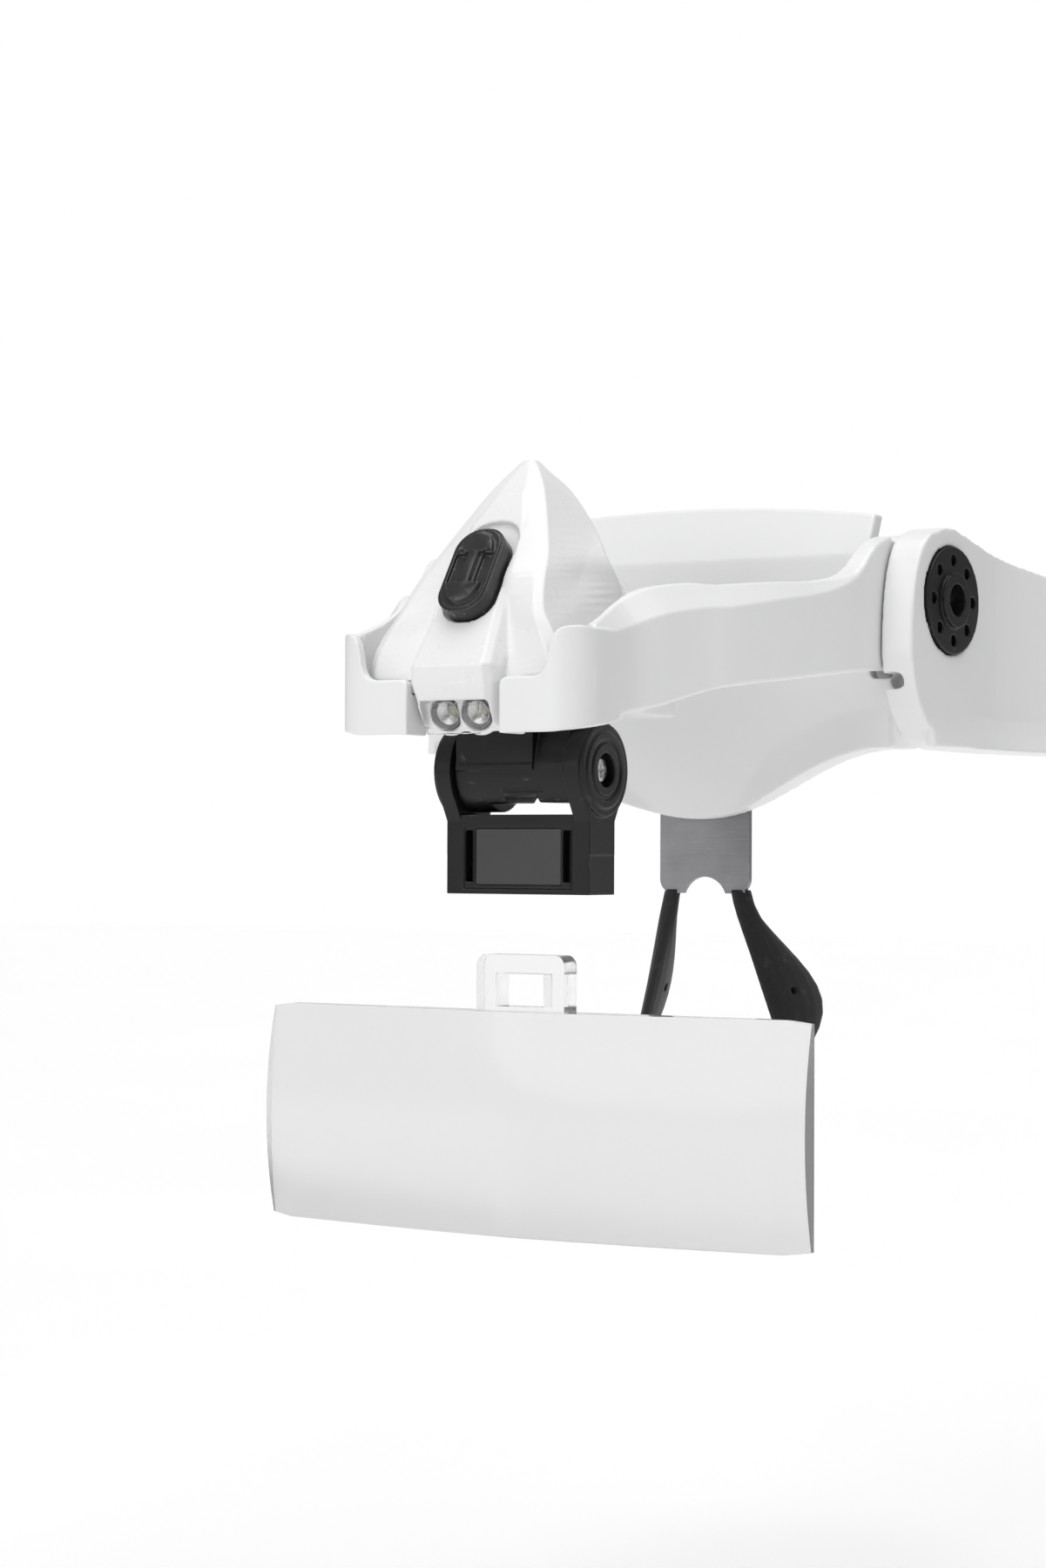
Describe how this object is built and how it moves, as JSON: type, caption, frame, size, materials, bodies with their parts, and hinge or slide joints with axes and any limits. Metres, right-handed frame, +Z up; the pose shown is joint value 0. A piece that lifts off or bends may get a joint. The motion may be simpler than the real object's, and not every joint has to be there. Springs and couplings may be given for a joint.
{
  "type": "head visor magnifier",
  "caption": "Head-worn visor magnifier: brow frame with folding temples, tilting arm frame with a battery lamp, and a hinged holder for a slide-in lens plate.",
  "frame": {"origin": "where the bridge of the nose sits, between the two nose pads, at the height of their middles", "axes": "+X to the wearer's left, -Y forward away from the face, +Z up"},
  "size_m": [0.1372, 0.228, 0.1181],
  "materials": {
    "white_plastic": "fine satin injection-moulded white plastic",
    "black_plastic": "fine spark-eroded black plastic",
    "black_rubber": "soft dull black rubber",
    "steel_plate": "brushed stainless sheet",
    "steel_hardware": "zinc-plated steel",
    "brass_contact": "bright spring brass",
    "acrylic": "polished clear acrylic",
    "led_resin": "clear epoxy dome",
    "board": "green solder mask"
  },
  "bodies": {
    "head": {"brow_shell": "white_plastic", "hub_disc_left": "black_plastic", "hub_disc_right": "black_plastic", "hub_screws": "steel_hardware", "hub_nuts": "steel_hardware", "hub_washers": "steel_hardware", "nose_bracket": "steel_plate", "bracket_screws": "steel_hardware", "nose_pad_left": "black_rubber", "nose_pad_right": "black_rubber", "temple_pins": "steel_hardware"},
    "visor": {"visor_frame": "white_plastic", "hinge_block": "black_plastic", "block_screws": "steel_hardware"},
    "lamp": {"lamp_housing": "white_plastic", "lamp_base": "white_plastic", "lamp_screws": "steel_hardware", "lamp_pins": "steel_hardware", "lamp_window": "acrylic", "light_left": "led_resin", "light_right": "led_resin", "circuit_board": "board", "slide_switch": "black_plastic", "coin_cell_upper": "steel_hardware", "coin_cell_lower": "steel_hardware", "cell_contact_upper": "brass_contact", "cell_contact_lower": "brass_contact", "battery_door": "white_plastic", "door_screw": "steel_hardware"},
    "knob": {"switch_knob": "black_plastic"},
    "holder": {"lens_holder": "black_plastic", "lens_latch": "black_plastic", "holder_screw": "steel_hardware", "holder_nut": "steel_hardware"},
    "lens": {"lens_plate": "acrylic"},
    "temple_arm_left": {"temple_left": "white_plastic", "temple_sleeve_left": "black_rubber"},
    "temple_arm_right": {"temple_right": "white_plastic", "temple_sleeve_right": "black_rubber"}
  },
  "joints": [
    {"name": "visor_tilt", "type": "hinge", "parent": "head", "child": "visor", "pos_m": [0, -0.011, 0.057], "axis": [-1, 0, 0], "range_deg": [-5, 50]},
    {"name": "holder_tilt", "type": "hinge", "parent": "visor", "child": "holder", "pos_m": [0, -0.062, 0.029], "axis": [-1, 0, 0], "range_deg": [-20, 60]},
    {"name": "lamp_tilt", "type": "hinge", "parent": "visor", "child": "lamp", "pos_m": [0, -0.066, 0.0412], "axis": [-1, 0, 0], "range_deg": [0, 12]},
    {"name": "switch_slide", "type": "slide", "parent": "lamp", "child": "knob", "axis": [0, 0.5505, 0.8348], "range_m": [0, 0.0025]},
    {"name": "lens_slide", "type": "slide", "parent": "holder", "child": "lens", "axis": [0, 0, 1], "range_m": [0, 0.0178], "deforming": ["lens_latch"]},
    {"name": "temple_fold_left", "type": "hinge", "parent": "head", "child": "temple_arm_left", "pos_m": [0.0657, 0.0476, 0.04575], "axis": [0, 0, 1], "range_deg": [0, 85]},
    {"name": "temple_fold_right", "type": "hinge", "parent": "head", "child": "temple_arm_right", "pos_m": [-0.0657, 0.0476, 0.04575], "axis": [0, 0, -1], "range_deg": [0, 70]}
  ]
}
